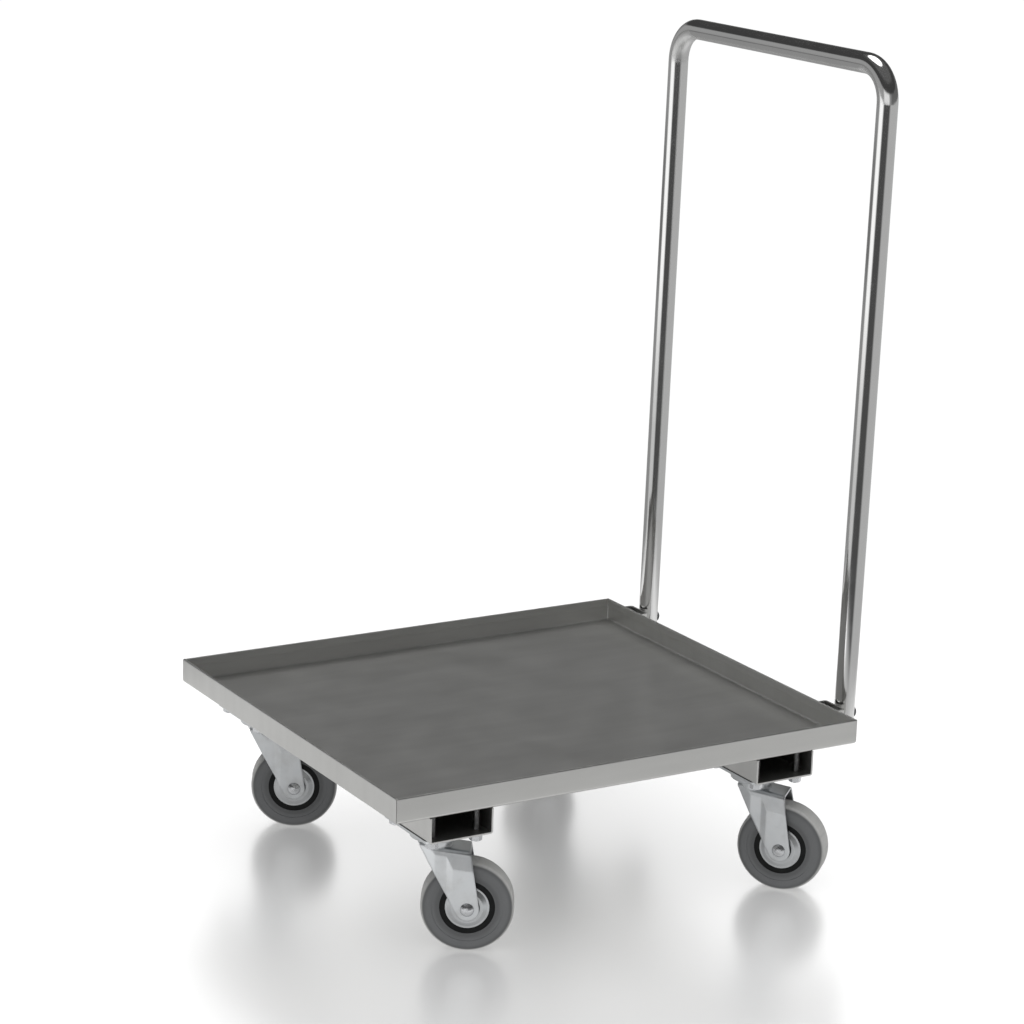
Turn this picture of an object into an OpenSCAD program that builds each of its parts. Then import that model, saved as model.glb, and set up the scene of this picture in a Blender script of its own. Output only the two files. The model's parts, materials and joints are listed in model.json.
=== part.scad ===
// Low platform trolley for stacked crates: a shallow sheet pan on two cross channels,
// four swivel casters and one push handle of round tube.
// Origin: middle of the tray floor's upper face. +Z up, +Y towards the handle, +X the driver's left.

/* [Tray] */
// Width of the tray over its rim, along X
tray_w = 555; // [500:1:700]
// Length of the tray over its rim, along Y
tray_l = 620; // [560:1:800]
// Height of the rim from the underside of the floor to its top edge
rim_h = 30; // [24:1:50]
// Thickness of the tray sheet
sheet_t = 1.5; // [1:0.1:2.5]
// Inside radius of the bend between floor and rim
bend_r = 2; // [2:0.5:4]
// Depth of the folded hem on the inside of the rim
hem_h = 10; // [6:1:14]
// Opening of the seam at each corner of the rim
seam_gap = 0.5; // [0.2:0.1:0.8]

/* [Channels] */
// Width of each cross channel, along Y
channel_w = 80; // [80:1:100]
// Height of each cross channel
channel_h = 30; // [24:1:40]
// Wall of the cross channels
channel_t = 2; // [1.5:0.5:3]
// Distance from the front rim face to the front channel
front_inset = 43; // [40:1:80]
// Distance from the rear rim face to the rear channel
rear_inset = 62; // [55:1:90]

/* [Handle] */
// Outer diameter of the handle tube
tube_d = 25; // [22:1:32]
// Wall of the handle tube
tube_wall = 1.5; // [1:0.5:2.5]
// Distance between the axes of the two legs
leg_spacing = 436; // [380:1:480]
// Height of the bar's axis above the tray floor
bar_z = 791; // [700:1:900]
// Centreline radius of the two upper bends
corner_r = 42; // [35:1:60]
// Backward lean of the handle
handle_lean = 0.9; // [0:0.1:2]
// Length of each leg below the underside of the tray floor
leg_drop = 15; // [13:1:18]
// Distance from the rear rim face to the handle tube
standoff = 11.5; // [11.5:0.5:16]
// Width of each handle bracket
bracket_w = 40; // [34:1:60]
// Thickness of the handle brackets
bracket_t = 2.5; // [2:0.5:3]
// Height of the upper handle bolt above the tray floor
upper_bolt_z = 16; // [14:1:17]
// Height distance between the two handle bolts of a leg
handle_bolt_pitch = 21; // [18:1:22]

/* [Caster fixing] */
// Distance of the swivel axes from the tray's centre line
caster_x = 218; // [180:1:220]
// Nominal diameter of the studs and of the handle bolts
stud_d = 8; // [6:1:8]
// Distance between fixing studs along X
stud_pitch_x = 84; // [80:1:90]
// Distance between fixing studs along Y
stud_pitch_y = 56; // [54:1:62]
// Length of the caster plate along X
plate_l = 105; // [103:1:115]
// Width of the caster plate along Y
plate_w = 80; // [80:1:90]
// Thickness of the caster plate
plate_t = 3; // [2.5:0.5:4]

/* [Casters] */
// Height of a caster from the ground to the top of its plate
caster_h = 148; // [144:1:170]
// Diameter of the wheel over the tread
wheel_d = 106; // [90:1:110]
// Width of the tyre
tyre_w = 32; // [26:1:34]
// Distance from the swivel axis to the axle
trail = 38; // [32:1:42]
// Diameter of the black wheel centre under the tyre
core_d = 63; // [60:1:70]
// Diameter of the cover discs on the wheel centre
disc_d = 50; // [46:1:54]
// Thickness of the fork's sheet
fork_t = 2.5; // [2:0.5:3]
// Height by which the rear panel of each fork leg stands out from its front part
press_depth = 2.5; // [2:0.5:3.5]
// Height of the crown above the fork's shoulders
crown_rise = 9; // [6:1:11]
// Width of the space between the front parts of the fork legs
fork_gap = 37; // [37:0.5:40]
// Diameter of the axle bolt
axle_d = 8; // [6:1:8]
// Outer diameter of the sleeve on the axle bolt
sleeve_d = 12; // [11:0.5:13]
// Diameter of the swivel crown on the fork
crown_d = 58; // [56:1:60]
// Diameter of the balls in the upper swivel race
ball_d = 6; // [5:0.5:6]
// Diameter of the circle on which the upper balls run
race_d = 40; // [38:1:42]

/* [Rest pose] */
// Turn of the front left caster about its swivel axis
yaw_front_left = -31; // [-180:1:360]
// Turn of the front right caster about its swivel axis
yaw_front_right = -28; // [-180:1:360]
// Turn of the rear left caster about its swivel axis
yaw_rear_left = -48; // [-180:1:360]
// Turn of the rear right caster about its swivel axis
yaw_rear_right = 191; // [-180:1:360]

/* [Hidden] */
$fn = 48;
// Clearances: turning fit, loose bolt hole, and the gap between curved faces that don't fit
turn_fit = 0.05;
bolt_play = 0.3;
free_gap = 0.3;
// Small overlap that joins two solids of one piece
join = 0.01;

// Levels, measured from the tray floor's upper face
floor_under = -sheet_t;
rim_top = rim_h - sheet_t;
channel_under = floor_under - channel_h;
ground_z = channel_under - caster_h;

// Tray
bend_out = bend_r + sheet_t;
hem_t = 2 * sheet_t + 0.2;
hem_reach = hem_h + bend_out;

// Channels
front_y = -tray_l / 2 + front_inset + channel_w / 2;
rear_y = tray_l / 2 - rear_inset - channel_w / 2;
channel_bend = channel_t + 1;

// Fixings
stud_r = stud_d / 2;
washer_r = stud_d;
washer_t = 0.2 * stud_d;
nut_flats = 1.6 * stud_d;
nut_h = 0.8 * stud_d;
stud_end = 1.5;
weld_flange_r = stud_r + 1.2;
weld_flange_h = 0.8;
stud_length = channel_h + plate_t + washer_t + nut_h + stud_end;
plate_corner_r = 8;

// Handle
tube_r = tube_d / 2;
tube_bore = tube_r - tube_wall;
rim_back = tray_l / 2;
leg_foot = floor_under - leg_drop;
lean_z = upper_bolt_z - handle_bolt_pitch / 2;
bracket_face = rim_back + standoff;
bracket_foot = leg_foot + 1;
bracket_head = rim_top - 1;
bracket_bend = bracket_t + 1.5;
handle_bolt_head_r = 0.9 * stud_d;
leg_gap = (lean_z - bracket_foot) * tan(handle_lean) + turn_fit;
leg_y = bracket_face + leg_gap + tube_r;
bolt_head_gap = (handle_bolt_pitch / 2 + handle_bolt_head_r) * tan(handle_lean) + turn_fit;
plug_cap = 3;
plug_skirt = upper_bolt_z - handle_bolt_pitch - stud_r - 1 - leg_foot;
handle_nut_h = 0.65 * stud_d;
handle_bolt_head = 0.45 * stud_d;
handle_bolt_tip = 1;

// Caster heights, measured down from the channel's underside
axle_s = caster_h - wheel_d / 2;
dish_s = 4.5;
dish_under = dish_s + plate_t;
ball_r = ball_d / 2;
race_r = race_d / 2;
ball_bite = 0.9;
upper_ball_s = dish_under + ball_r - ball_bite;
crown_s = upper_ball_s + ball_r - ball_bite;
crown_t = 3;
crown_under = crown_s + crown_t;
lip_s = dish_under + free_gap + 0.7;
lip_w = crown_d / 2 - race_r - ball_r - 1.5;
kingpin_r = 6;
kingpin_play = 2;
low_ball_r = 0.42 * ball_d;
low_race_r = kingpin_r + kingpin_play + low_ball_r + 2;
low_bite = 0.7;
low_ball_s = crown_under + low_ball_r - low_bite;
washer_s = low_ball_s + low_ball_r - low_bite;
race_washer_t = 2.5;
race_washer_r = low_race_r + low_ball_r + 1;
kingpin_head_r = 10;
kingpin_head_h = 2.5;
dish_r = race_r + ball_r + 1;
dish_slope = 4;
balls_up = floor(360 / (2 * asin(ball_r / race_r)) * 0.92);
balls_low = floor(360 / (2 * asin(low_ball_r / low_race_r)) * 0.92);

// Fork: shoulders clear the stud ends, measured at the swivel axis
stud_reach = plate_t + washer_t + nut_h + stud_end + 0.8;
fork_top = max(crown_under - fork_t, stud_reach) + crown_rise;
shoulder_fall = 7;
shoulder_in = 3;
fork_bend = fork_t + 3.5;
leg_in = fork_gap / 2;
leg_out = leg_in + fork_t;
panel_in = leg_in + press_depth;
panel_out = leg_out + press_depth;
crease_s = fork_top + 21.5;
end_r = 13.5;
wing_y = -17;
wing_bend_y = 0.5;
wing_turn = 17;
rib_foot_y = trail - 24;
rib_crest_y = trail - 17;
back_y = trail + 2;
fork_reach = trail + end_r + 10;
fork_deep = axle_s + end_r + 20;
neck_in = race_washer_r + 1;
neck_out = neck_in + fork_t;

// Wheel, measured from its centre plane
wheel_r = wheel_d / 2;
tyre_half = tyre_w / 2;
core_r = core_d / 2;
disc_r = disc_d / 2;
core_half = tyre_half - 1;
web_half = 3;
hub_r = 14;
hub_half = leg_in - free_gap;
bush_r = sleeve_d / 2 + 3;
bush_flange_r = bush_r + 1.2;
bush_flange_t = panel_in - hub_half - free_gap;
bush_l = 14;
disc_t = 1.2;
rim_wall = 2.5;
shoulder_r = 6;
tread_step = 0.5;
core_grip = 1;
step_r = core_r + 9;
axle_r = axle_d / 2;
sleeve_r = sleeve_d / 2;
axle_head_r = 1.0 * axle_d;
axle_head_h = 0.6 * axle_d;
axle_nut_h = 0.8 * axle_d;
axle_tip = 1.5;
disc_lip = 2;
disc_flat = 4;

STAINLESS = [0.76, 0.76, 0.75];
POLISHED = [0.80, 0.80, 0.80];
ZINC = [0.74, 0.77, 0.80];
STEEL = [0.66, 0.67, 0.69];
TYRE_GREY = [0.38, 0.39, 0.39];
BLACK = [0.10, 0.11, 0.11];

SIDES = ["fl", "fr", "rl", "rr"];
CASTER_AT = [
    [caster_x, front_y],
    [-caster_x, front_y],
    [caster_x, rear_y],
    [-caster_x, rear_y]
];
CASTER_YAW = [yaw_front_left, yaw_front_right, yaw_rear_left, yaw_rear_right];

// Shared forms

// Rectangle with true round corners, centred
module round_rect(w, l, r) {
    square([w - 2 * r, l], center = true);
    square([w, l - 2 * r], center = true);
    for (sx = [-1, 1], sy = [-1, 1])
        translate([sx * (w / 2 - r), sy * (l / 2 - r)])
            circle(r);
}

// Hexagon nut, its top face at the origin, reaching down; edges turned off both ends
module hex_nut(flats, h, bore_r) {
    difference() {
        intersection() {
            translate([0, 0, -h])
                cylinder(h = h, d = flats / cos(30), $fn = 6);
            rotate_extrude()
                polygon([
                    [0, 0], [flats / 2, 0], [flats / 2 + 1.2, -0.7],
                    [flats / 2 + 1.2, -h + 0.7], [flats / 2, -h], [0, -h]
                ]);
        }
        translate([0, 0, -h - 1])
            cylinder(h = h + 2, r = bore_r);
    }
}

// Low domed screw head, flat face at the origin, crown upwards
module dome_head(r, h) {
    dome_r = (r * r + h * h) / (2 * h);
    intersection() {
        cylinder(h = h, r = r);
        translate([0, 0, h - dome_r])
            sphere(r = dome_r, $fn = 64);
    }
}

// Stands its children at caster i, top of the plate at the origin, fork turned to its rest pose
module at_caster(i) {
    translate([CASTER_AT[i][0], CASTER_AT[i][1], channel_under])
        children();
}

module in_fork(i) {
    at_caster(i)
        rotate([0, 0, CASTER_YAW[i]])
            children();
}

// Turns a profile (x = radius, y = along the axle) about the axle of caster i
module on_axle(i) {
    in_fork(i)
        translate([0, trail, -axle_s])
            rotate([0, 90, 0])
                children();
}

// Places its children at each stud of caster plate pattern
module at_studs() {
    for (sx = [-1, 1], sy = [-1, 1])
        translate([sx * stud_pitch_x / 2, sy * stud_pitch_y / 2, 0])
            children();
}

// Tray

// Section across one rim: x runs inwards from the outer face, y upwards
module rim_section() {
    translate([0, floor_under + bend_out])
        square([sheet_t, rim_h - bend_out - hem_t / 2]);
    translate([0, rim_top - hem_h])
        square([hem_t, hem_h - hem_t / 2]);
    translate([hem_t / 2, rim_top - hem_t / 2])
        circle(hem_t / 2);
    intersection() {
        translate([bend_out, floor_under + bend_out])
            difference() {
                circle(bend_out);
                circle(bend_r);
            }
        translate([0, floor_under])
            square(bend_out);
    }
}

// One side of the rim along X, outer face at y = 0, ends mitred with half the seam left open
module rim_side(length) {
    open_end = seam_gap / 2 * sqrt(2);
    intersection() {
        translate([-length / 2, 0, 0])
            rotate([90, 0, 90])
                linear_extrude(height = length)
                    rim_section();
        translate([0, 0, floor_under - 1])
            linear_extrude(height = rim_h + 2)
                polygon([
                    [-length / 2 + open_end, 0], [length / 2 - open_end, 0],
                    [length / 2 - open_end - hem_reach, hem_reach],
                    [-length / 2 + open_end + hem_reach, hem_reach]
                ]);
    }
}

module tray_pan() {
    color(STAINLESS) {
        translate([-tray_w / 2 + bend_out, -tray_l / 2 + bend_out, floor_under])
            cube([tray_w - 2 * bend_out, tray_l - 2 * bend_out, sheet_t]);
        for (turn = [0, 180])
            rotate([0, 0, turn]) {
                translate([0, -tray_l / 2, 0])
                    rim_side(tray_w);
                rotate([0, 0, 90])
                    translate([0, -tray_w / 2, 0])
                        rim_side(tray_l);
            }
    }
}

// Channels

module channel(y, first, last) {
    color(STAINLESS)
        difference() {
            translate([-tray_w / 2, y, channel_under])
                rotate([90, 0, 90])
                    linear_extrude(height = tray_w)
                        difference() {
                            channel_outline(channel_w, 0, channel_bend);
                            channel_outline(channel_w - 2 * channel_t, channel_t, channel_bend - channel_t);
                        }
            for (i = [first, last])
                translate([CASTER_AT[i][0], CASTER_AT[i][1], channel_under - 1])
                    at_studs()
                        cylinder(h = channel_t + 2, r = stud_r + bolt_play);
        }
}

// Outline of a channel from its inner or outer face, open at the top
module channel_outline(w, low, r) {
    translate([-w / 2, low + r])
        square([w, channel_h - low - r]);
    translate([-w / 2 + r, low])
        square([w - 2 * r, channel_h - low]);
    for (side = [-1, 1])
        translate([side * (w / 2 - r), low + r])
            circle(r);
}

module front_channel() {
    channel(front_y, 0, 1);
}

module rear_channel() {
    channel(rear_y, 2, 3);
}

// Handle

// The bent tube's path as a solid of the given radius, leaning back about the middle of the brackets
module handle_path(r, extra) {
    half = leg_spacing / 2;
    straight_top = bar_z - corner_r;
    translate([0, leg_y, lean_z])
        rotate([-handle_lean, 0, 0])
            translate([0, 0, -lean_z]) {
                for (side = [-1, 1]) {
                    translate([side * half, 0, leg_foot - extra])
                        cylinder(h = straight_top - leg_foot + extra, r = r);
                    translate([side * (half - corner_r), 0, straight_top])
                        rotate([90, 0, 0])
                            rotate([0, 0, side > 0 ? 0 : 90])
                                rotate_extrude(angle = 90, $fn = 96)
                                    translate([corner_r, 0])
                                        circle(r, $fn = 48);
                }
                translate([-half + corner_r, 0, bar_z])
                    rotate([0, 90, 0])
                        cylinder(h = leg_spacing - 2 * corner_r, r = r);
            }
}

// Axes of the four handle bolts, pointing away from the tray
module at_handle_bolts(y) {
    for (side = [-1, 1], z = [upper_bolt_z, upper_bolt_z - handle_bolt_pitch])
        translate([side * leg_spacing / 2, y, z])
            rotate([-90, 0, 0])
                children();
}

module handle_tube() {
    color(POLISHED)
        difference() {
            handle_path(tube_r, 0);
            handle_path(tube_bore, 1);
            at_handle_bolts(leg_y - tube_d)
                cylinder(h = 2 * tube_d, r = stud_r + bolt_play);
        }
}

// End plugs whose skirts stop below the lower bolts
module handle_plugs() {
    color(BLACK)
        for (side = [-1, 1])
            translate([0, leg_y, lean_z])
                rotate([-handle_lean, 0, 0])
                    translate([side * leg_spacing / 2, 0, leg_foot - lean_z])
                        rotate_extrude()
                            polygon([
                                [0, -plug_cap], [tube_r - 1.5, -plug_cap], [tube_r, -plug_cap + 1.5],
                                [tube_r, 0], [tube_bore - turn_fit, 0],
                                [tube_bore - turn_fit, plug_skirt], [tube_bore - 1.5, plug_skirt],
                                [tube_bore - 1.5, 0.5], [0, 0.5]
                            ]);
}

// U-shaped stand-off: the web carries the leg, both flanges are welded to the rear rim
module handle_bracket(side) {
    color(STAINLESS)
        difference() {
            translate([side * leg_spacing / 2, rim_back, bracket_foot])
                linear_extrude(height = bracket_head - bracket_foot)
                    difference() {
                        bracket_outline(bracket_w, 0, bracket_bend);
                        bracket_outline(bracket_w - 2 * bracket_t, bracket_t, bracket_bend - bracket_t);
                    }
            at_handle_bolts(rim_back)
                cylinder(h = standoff + 1, r = stud_r + bolt_play);
        }
}

// Outline of the bracket from above, its web at y = standoff, open towards the rim
module bracket_outline(w, inset, r) {
    deep = standoff - inset;
    translate([-w / 2, 0])
        square([w, deep - r]);
    translate([-w / 2 + r, 0])
        square([w - 2 * r, deep]);
    for (s = [-1, 1])
        translate([s * (w / 2 - r), deep - r])
            circle(r);
}

module handle_bracket_left() {
    handle_bracket(1);
}

module handle_bracket_right() {
    handle_bracket(-1);
}

// Bolts from the outside of the tube through the leg and the bracket's web
module handle_bolts() {
    head_y = leg_y + tube_r + bolt_head_gap;
    shank = head_y - bracket_face + bracket_t + handle_nut_h + handle_bolt_tip;
    color(STEEL)
        at_handle_bolts(head_y) {
            dome_head(handle_bolt_head_r, handle_bolt_head);
            translate([0, 0, -shank])
                cylinder(h = shank + join, r = stud_r);
        }
}

module handle_nuts() {
    color(STEEL)
        at_handle_bolts(bracket_face - bracket_t)
            hex_nut(nut_flats, handle_nut_h, stud_r + turn_fit);
}

// Caster fixings

module caster_studs() {
    color(STEEL)
        for (i = [0:3])
            translate([0, 0, channel_h])
                at_caster(i)
                    at_studs() {
                        translate([0, 0, -weld_flange_h])
                            cylinder(h = weld_flange_h, r = weld_flange_r);
                        translate([0, 0, -stud_length + 1])
                            cylinder(h = stud_length - 1, r = stud_r);
                        translate([0, 0, -stud_length])
                            cylinder(h = 1, r1 = stud_r - 0.8, r2 = stud_r);
                    }
}

module caster_washers() {
    color(STEEL)
        for (i = [0:3])
            at_caster(i)
                at_studs()
                    translate([0, 0, -plate_t - washer_t])
                        difference() {
                            cylinder(h = washer_t, r = washer_r);
                            translate([0, 0, -1])
                                cylinder(h = washer_t + 2, r = stud_r + bolt_play);
                        }
}

module caster_nuts() {
    color(STEEL)
        for (i = [0:3])
            at_caster(i)
                at_studs()
                    translate([0, 0, -plate_t - washer_t])
                        hex_nut(nut_flats, nut_h, stud_r + turn_fit);
}

// Casters: chassis side

// Flat plate with a pressed dish whose underside is the upper half of the ball race
module caster_plate(i) {
    color(ZINC)
        at_caster(i)
            difference() {
                union() {
                    difference() {
                        translate([0, 0, -plate_t])
                            linear_extrude(height = plate_t)
                                round_rect(plate_l, plate_w, plate_corner_r);
                        translate([0, 0, -plate_t - 1])
                            cylinder(h = plate_t + 2, r = dish_r + dish_slope - 0.5);
                    }
                    rotate_extrude()
                        difference() {
                            polygon([
                                [0, -dish_s], [dish_r - 1, -dish_s], [dish_r + dish_slope - 1, 0],
                                [dish_r + dish_slope + 1, 0], [dish_r + dish_slope + 1, -plate_t],
                                [dish_r + 1, -dish_under], [0, -dish_under]
                            ]);
                            translate([race_r, -upper_ball_s])
                                circle(ball_r + turn_fit);
                        }
                }
                at_studs()
                    translate([0, 0, -plate_t - 1])
                        cylinder(h = plate_t + 2, r = stud_r + bolt_play);
                translate([0, 0, -dish_under - 1])
                    cylinder(h = dish_under + 2, r = kingpin_r + turn_fit);
            }
}

// Riveted kingpin that holds the fork up: head in the dish, lower race below the crown
module kingpin(i) {
    color(STEEL)
        at_caster(i)
            rotate_extrude()
                difference() {
                    polygon([
                        [0, -dish_s + kingpin_head_h], [kingpin_head_r - 2, -dish_s + kingpin_head_h],
                        [kingpin_head_r, -dish_s + 1], [kingpin_head_r, -dish_s],
                        [kingpin_r, -dish_s], [kingpin_r, -washer_s],
                        [race_washer_r, -washer_s], [race_washer_r, -washer_s - race_washer_t],
                        [kingpin_r + 3, -washer_s - race_washer_t],
                        [kingpin_r + 1, -washer_s - race_washer_t - 2.5],
                        [0, -washer_s - race_washer_t - 3]
                    ]);
                    translate([low_race_r, -low_ball_s])
                        circle(low_ball_r + turn_fit);
                }
}

// Two rings of balls, above and below the crown
module balls(i) {
    color(STEEL)
        at_caster(i) {
            for (k = [0:balls_up - 1])
                rotate([0, 0, k * 360 / balls_up])
                    translate([race_r, 0, -upper_ball_s])
                        sphere(r = ball_r);
            for (k = [0:balls_low - 1])
                rotate([0, 0, k * 360 / balls_low])
                    translate([low_race_r, 0, -low_ball_s])
                        sphere(r = low_ball_r);
        }
}

// Casters: swivelling side

// Point where a straight line from p touches a circle, on the side given by 1 or -1
function touch_point(p, centre, r, side) =
    let (d = p - centre, turn = atan2(d[1], d[0]) + side * acos(r / norm(d)))
    centre + r * [cos(turn), sin(turn)];

// Side view of a fork leg: x runs along the trail from the swivel axis, y upwards
module fork_side() {
    axle = [trail, -axle_s];
    wing = [wing_y, -fork_top];
    back = [back_y, -fork_top];
    polygon([
        [wing_y, 0], [back_y, 0], back, touch_point(back, axle, end_r, -1),
        axle, touch_point(wing, axle, end_r, 1), wing
    ]);
    translate(axle)
        circle(end_r);
}

// Section across the fork from its outer or inner face: legs that lean in above a crease,
// round shoulders and a flat top
module fork_section(inset) {
    half = panel_out - inset;
    top = -fork_top - inset;
    r = fork_bend - inset;
    round_x = half - shoulder_in - r;
    crease = [half, -crease_s];
    corner = touch_point(crease, [round_x, top - r], r, 1);
    polygon([
        [half, -fork_deep], crease, corner, [round_x, top],
        [-round_x, top], [-corner[0], corner[1]], [-half, -crease_s], [-half, -fork_deep]
    ]);
    for (side = [-1, 1])
        translate([side * round_x, top - r])
            circle(r);
}

// The same face seen from above: front part with its wings turned in, slope, raised rear panel
module fork_plan(inset) {
    half = leg_out - inset;
    panel = panel_out - inset;
    front = wing_y - 5;
    tip = half - (wing_bend_y - front) * tan(wing_turn);
    polygon([
        [-tip, front], [tip, front], [half, wing_bend_y], [half, rib_foot_y],
        [panel, rib_crest_y], [panel, fork_reach], [-panel, fork_reach],
        [-panel, rib_crest_y], [-half, rib_foot_y], [-half, wing_bend_y]
    ]);
}

// Solid inside a face of the fork's sheet, inset from the outer face
module fork_form(inset) {
    intersection() {
        translate([0, 0, -fork_deep])
            linear_extrude(height = fork_deep)
                fork_plan(inset);
        rotate([90 - shoulder_fall, 0, 0])
            translate([0, 0, -fork_deep])
                linear_extrude(height = 2 * fork_deep)
                    fork_section(inset);
    }
}

// Bent and pressed sheet of the fork
module fork_shell() {
    intersection() {
        difference() {
            fork_form(0);
            fork_form(fork_t);
        }
        along_axle(panel_out + 1)
            fork_side();
    }
}

// Extrudes a side view to both sides of the fork's middle plane
module along_axle(half) {
    rotate([90, 0, 90])
        translate([0, 0, -half])
            linear_extrude(height = 2 * half)
                children();
}

// Round neck between the fork's shoulders and the crown, cut off at the underside of the sheet
module fork_neck() {
    difference() {
        translate([0, 0, -crease_s])
            cylinder(h = crease_s - crown_under + join, r = neck_out);
        rotate([-shoulder_fall, 0, 0])
            translate([-2 * neck_out, -2 * neck_out, -fork_deep])
                cube([4 * neck_out, 4 * neck_out, fork_deep - fork_top - fork_t]);
    }
}

// Crown with a turned-up lip: race for the upper balls above, for the lower balls below
module fork_crown() {
    lip_in = crown_d / 2 - lip_w;
    hole_r = kingpin_r + kingpin_play;
    rotate_extrude()
        difference() {
            union() {
                translate([hole_r, -crown_under])
                    square([crown_d / 2 - hole_r - 1, crown_t]);
                translate([lip_in, -crown_under])
                    square([lip_w - 1, crown_under - lip_s]);
                translate([lip_in + 1, -crown_under + 1])
                    square([lip_w - 1, crown_under - lip_s - 2]);
                for (s = [lip_s + 1, crown_under - 1])
                    translate([crown_d / 2 - 1, -s])
                        circle(1);
            }
            translate([race_r, -upper_ball_s])
                circle(ball_r + free_gap);
        }
}

// Room for the kingpin, the race washer and the lower balls, which run in a groove under the crown
module fork_swivel_room() {
    translate([0, 0, -crease_s - 1]) {
        cylinder(h = crease_s + 1 - crown_under, r = neck_in);
        cylinder(h = crease_s + 1, r = kingpin_r + kingpin_play);
    }
    rotate_extrude()
        translate([low_race_r, -low_ball_s])
            circle(low_ball_r + free_gap);
}

module fork(i) {
    color(ZINC)
        in_fork(i)
            difference() {
                union() {
                    fork_shell();
                    fork_neck();
                    fork_crown();
                }
                fork_swivel_room();
                translate([-panel_out - 1, trail, -axle_s])
                    rotate([0, 90, 0])
                        cylinder(h = 2 * panel_out + 2, r = axle_r + turn_fit);
            }
}

// Axle bolt: domed head outside one leg, thread outside the other
module axle_bolt(i) {
    color(STEEL)
        on_axle(i) {
            translate([0, 0, panel_out])
                dome_head(axle_head_r, axle_head_h);
            translate([0, 0, -panel_out - axle_nut_h - axle_tip])
                cylinder(h = 2 * panel_out + axle_nut_h + axle_tip + join, r = axle_r);
        }
}

module axle_nut(i) {
    color(STEEL)
        on_axle(i)
            translate([0, 0, -panel_out])
                hex_nut(1.6 * axle_d, axle_nut_h, axle_r + turn_fit);
}

// Spacer tube that both legs clamp, on which the bushes turn
module axle_sleeve(i) {
    color(STEEL)
        on_axle(i)
            translate([0, 0, -panel_in])
                difference() {
                    cylinder(h = 2 * panel_in, r = sleeve_r);
                    translate([0, 0, -1])
                        cylinder(h = 2 * panel_in + 2, r = axle_r + turn_fit);
                }
}

// Casters: turning side

module tyre(i) {
    color(TYRE_GREY)
        on_axle(i)
            rotate_extrude($fn = 96)
                difference() {
                    translate([(wheel_r + core_r) / 2, 0])
                        tyre_section(wheel_r - core_r);
                    for (side = [-1, 1])
                        translate([core_r - core_grip, side * tyre_half - tread_step])
                            square([step_r - core_r + core_grip, 2 * tread_step]);
                }
}

// Section of the tyre: round shoulders outside, square where it grips the wheel centre
module tyre_section(deep) {
    translate([-shoulder_r / 2, 0])
        square([deep - shoulder_r, tyre_w], center = true);
    square([deep, tyre_w - 2 * shoulder_r], center = true);
    for (side = [-1, 1])
        translate([deep / 2 - shoulder_r, side * (tyre_half - shoulder_r)])
            circle(shoulder_r);
}

// Moulded centre: hub, web and rim, with a rebate on each side for the cover disc
module wheel_core(i) {
    color(BLACK)
        on_axle(i)
            difference() {
                rotate_extrude($fn = 96)
                    polygon([
                        [bush_r + turn_fit, -hub_half], [hub_r, -hub_half], [hub_r, -web_half],
                        [disc_r - rim_wall, -web_half], [disc_r - rim_wall, -core_half + disc_t],
                        [disc_r + turn_fit, -core_half + disc_t], [disc_r + turn_fit, -core_half],
                        [core_r - turn_fit, -core_half], [core_r - turn_fit, core_half],
                        [disc_r + turn_fit, core_half], [disc_r + turn_fit, core_half - disc_t],
                        [disc_r - rim_wall, core_half - disc_t], [disc_r - rim_wall, web_half],
                        [hub_r, web_half], [hub_r, hub_half], [bush_r + turn_fit, hub_half]
                    ]);
            }
}

// A flanged bush from each side of the hub
module bushes(i) {
    color(BLACK)
        on_axle(i)
            for (side = [-1, 1])
                rotate([side > 0 ? 0 : 180, 0, 0])
                    rotate_extrude()
                        polygon([
                            [sleeve_r + turn_fit, hub_half - bush_l], [bush_r, hub_half - bush_l],
                            [bush_r, hub_half], [bush_flange_r, hub_half],
                            [bush_flange_r, hub_half + bush_flange_t],
                            [sleeve_r + turn_fit, hub_half + bush_flange_t]
                        ]);
}

// Pressed cover disc on each side of the wheel centre, rising as a shallow cone to the hub
module hub_discs(i) {
    rise = hub_half - core_half - free_gap;
    color(ZINC)
        on_axle(i)
            for (side = [-1, 1])
                rotate([side > 0 ? 0 : 180, 0, 0])
                    rotate_extrude($fn = 96)
                        polygon([
                            [disc_r, core_half - disc_t], [disc_r, core_half],
                            [disc_r - disc_lip, core_half], [hub_r + disc_flat, core_half + rise],
                            [hub_r + turn_fit, core_half + rise],
                            [hub_r + turn_fit, core_half + rise - disc_t],
                            [hub_r + disc_flat, core_half + rise - disc_t],
                            [disc_r - disc_lip, core_half - disc_t]
                        ]);
}

tray_pan();
front_channel();
rear_channel();
handle_tube();
handle_plugs();
handle_bracket_left();
handle_bracket_right();
handle_bolts();
handle_nuts();
caster_studs();
caster_washers();
caster_nuts();
caster_plate(0);  // plate_fl
kingpin(0);  // kingpin_fl
balls(0);  // balls_fl
fork(0);  // fork_fl
axle_bolt(0);  // axle_bolt_fl
axle_nut(0);  // axle_nut_fl
axle_sleeve(0);  // axle_sleeve_fl
tyre(0);  // tyre_fl
wheel_core(0);  // wheel_core_fl
bushes(0);  // bushes_fl
hub_discs(0);  // hub_discs_fl
caster_plate(1);  // plate_fr
kingpin(1);  // kingpin_fr
balls(1);  // balls_fr
fork(1);  // fork_fr
axle_bolt(1);  // axle_bolt_fr
axle_nut(1);  // axle_nut_fr
axle_sleeve(1);  // axle_sleeve_fr
tyre(1);  // tyre_fr
wheel_core(1);  // wheel_core_fr
bushes(1);  // bushes_fr
hub_discs(1);  // hub_discs_fr
caster_plate(2);  // plate_rl
kingpin(2);  // kingpin_rl
balls(2);  // balls_rl
fork(2);  // fork_rl
axle_bolt(2);  // axle_bolt_rl
axle_nut(2);  // axle_nut_rl
axle_sleeve(2);  // axle_sleeve_rl
tyre(2);  // tyre_rl
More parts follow.
